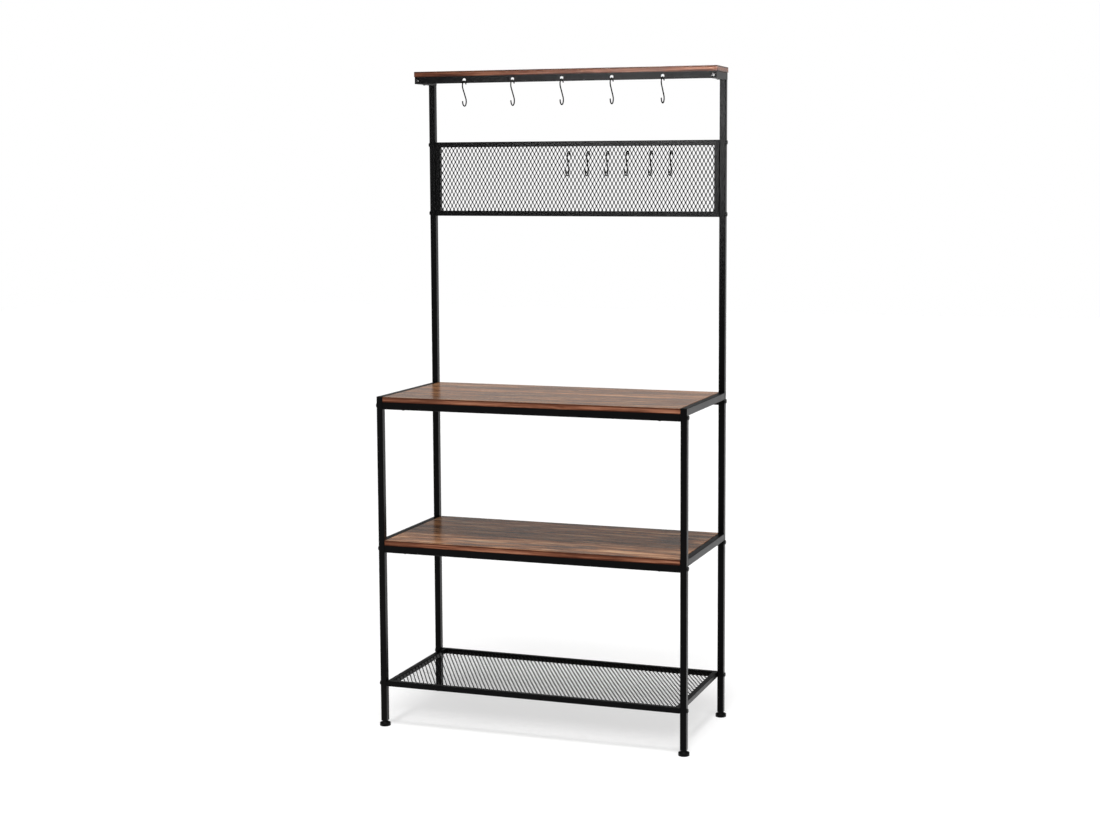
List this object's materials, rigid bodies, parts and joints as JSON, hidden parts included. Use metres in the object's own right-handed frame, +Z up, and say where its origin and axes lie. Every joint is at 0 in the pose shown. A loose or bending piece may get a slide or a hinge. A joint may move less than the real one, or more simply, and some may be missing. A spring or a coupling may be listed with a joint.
{
  "type": "bakers rack",
  "caption": "Free-standing steel bakers rack with wood counter, middle and top boards, an expanded-metal shelf and back panel, and hanging S hooks.",
  "frame": {"origin": "on the floor, midway between the legs both ways", "axes": "+Z up, +Y to the back, +X to the right as seen from the front"},
  "size_m": [0.913, 0.413, 1.85],
  "materials": {
    "powder_coat": "satin black powder coat",
    "mesh_coat": "black powder coat on expanded steel",
    "rustic_board": "satin rustic brown wood grain, reddish brown edges",
    "hook_wire": "black coated steel wire",
    "black_plastic": "matte black moulded plastic",
    "zinc_steel": "zinc plated steel",
    "bolt_steel": "black oxide steel bolt heads"
  },
  "bodies": {
    "frame": {"left_front_leg": "powder_coat", "left_back_leg": "powder_coat", "left_counter_side_rail": "powder_coat", "left_middle_side_rail": "powder_coat", "left_upper_post": "powder_coat", "left_top_arm": "powder_coat", "right_front_leg": "powder_coat", "right_back_leg": "powder_coat", "right_counter_side_rail": "powder_coat", "right_middle_side_rail": "powder_coat", "right_upper_post": "powder_coat", "right_top_arm": "powder_coat", "counter_front_rail": "powder_coat", "counter_back_rail": "powder_coat", "middle_front_rail": "powder_coat", "middle_back_rail": "powder_coat", "hook_rail": "powder_coat", "panel_bottom_bar": "powder_coat", "panel_top_bar": "powder_coat", "panel_left_bar": "powder_coat", "panel_right_bar": "powder_coat", "shelf_front_bar": "powder_coat", "shelf_back_bar": "powder_coat", "shelf_left_bar": "powder_coat", "shelf_right_bar": "powder_coat", "panel_mesh": "mesh_coat", "shelf_mesh": "mesh_coat", "counter_board": "rustic_board", "middle_board": "rustic_board", "top_board": "rustic_board", "front_leg_caps": "black_plastic", "leg_bottom_plugs": "black_plastic", "arm_end_caps": "black_plastic", "post_sleeves": "zinc_steel", "rail_end_inserts": "zinc_steel", "mesh_frame_inserts": "zinc_steel", "arm_front_inserts": "zinc_steel", "rail_bolts": "bolt_steel", "shelf_bolts": "bolt_steel", "panel_bolts": "bolt_steel", "hook_rail_bolts": "bolt_steel", "counter_board_screws": "bolt_steel", "middle_board_screws": "bolt_steel", "top_board_screws": "bolt_steel"},
    "rail_hook_1": {"rail_hook_1": "hook_wire"},
    "rail_hook_2": {"rail_hook_2": "hook_wire"},
    "rail_hook_3": {"rail_hook_3": "hook_wire"},
    "rail_hook_4": {"rail_hook_4": "hook_wire"},
    "rail_hook_5": {"rail_hook_5": "hook_wire"},
    "mesh_hook_1": {"mesh_hook_1": "hook_wire"},
    "mesh_hook_2": {"mesh_hook_2": "hook_wire"},
    "mesh_hook_3": {"mesh_hook_3": "hook_wire"},
    "mesh_hook_4": {"mesh_hook_4": "hook_wire"},
    "mesh_hook_5": {"mesh_hook_5": "hook_wire"},
    "mesh_hook_6": {"mesh_hook_6": "hook_wire"},
    "left_front_foot": {"left_front_foot": "black_plastic"},
    "right_front_foot": {"right_front_foot": "black_plastic"},
    "left_back_foot": {"left_back_foot": "black_plastic"},
    "right_back_foot": {"right_back_foot": "black_plastic"}
  },
  "joints": [
    {"name": "rail_hook_1_swing", "type": "hinge", "parent": "frame", "child": "rail_hook_1", "pos_m": [-0.296, 0.08575, 1.8075], "axis": [-1, 0, 0], "range_deg": [-35, 35]},
    {"name": "rail_hook_2_swing", "type": "hinge", "parent": "frame", "child": "rail_hook_2", "pos_m": [-0.148, 0.08575, 1.8075], "axis": [-1, 0, 0], "range_deg": [-35, 35]},
    {"name": "rail_hook_3_swing", "type": "hinge", "parent": "frame", "child": "rail_hook_3", "pos_m": [0, 0.08575, 1.8075], "axis": [-1, 0, 0], "range_deg": [-35, 35]},
    {"name": "rail_hook_4_swing", "type": "hinge", "parent": "frame", "child": "rail_hook_4", "pos_m": [0.148, 0.08575, 1.8075], "axis": [-1, 0, 0], "range_deg": [-35, 35]},
    {"name": "rail_hook_5_swing", "type": "hinge", "parent": "frame", "child": "rail_hook_5", "pos_m": [0.296, 0.08575, 1.8075], "axis": [-1, 0, 0], "range_deg": [-35, 35]},
    {"name": "mesh_hook_1_swing", "type": "hinge", "parent": "frame", "child": "mesh_hook_1", "pos_m": [-0.0143, 0.1822, 1.60659], "axis": [-1, 0, 0], "range_deg": [0, 30]},
    {"name": "mesh_hook_2_swing", "type": "hinge", "parent": "frame", "child": "mesh_hook_2", "pos_m": [0.0447, 0.1822, 1.60659], "axis": [-1, 0, 0], "range_deg": [0, 30]},
    {"name": "mesh_hook_3_swing", "type": "hinge", "parent": "frame", "child": "mesh_hook_3", "pos_m": [0.1037, 0.1822, 1.60659], "axis": [-1, 0, 0], "range_deg": [0, 30]},
    {"name": "mesh_hook_4_swing", "type": "hinge", "parent": "frame", "child": "mesh_hook_4", "pos_m": [0.1627, 0.1822, 1.60659], "axis": [-1, 0, 0], "range_deg": [0, 30]},
    {"name": "mesh_hook_5_swing", "type": "hinge", "parent": "frame", "child": "mesh_hook_5", "pos_m": [0.2335, 0.1822, 1.60659], "axis": [-1, 0, 0], "range_deg": [0, 30]},
    {"name": "mesh_hook_6_swing", "type": "hinge", "parent": "frame", "child": "mesh_hook_6", "pos_m": [0.2925, 0.1822, 1.60659], "axis": [-1, 0, 0], "range_deg": [0, 30]},
    {"name": "left_front_foot_screw", "type": "slide", "parent": "frame", "child": "left_front_foot", "axis": [0, 0, -1], "range_m": [0, 0.01]},
    {"name": "right_front_foot_screw", "type": "slide", "parent": "frame", "child": "right_front_foot", "axis": [0, 0, -1], "range_m": [0, 0.01]},
    {"name": "left_back_foot_screw", "type": "slide", "parent": "frame", "child": "left_back_foot", "axis": [0, 0, -1], "range_m": [0, 0.01]},
    {"name": "right_back_foot_screw", "type": "slide", "parent": "frame", "child": "right_back_foot", "axis": [0, 0, -1], "range_m": [0, 0.01]}
  ]
}
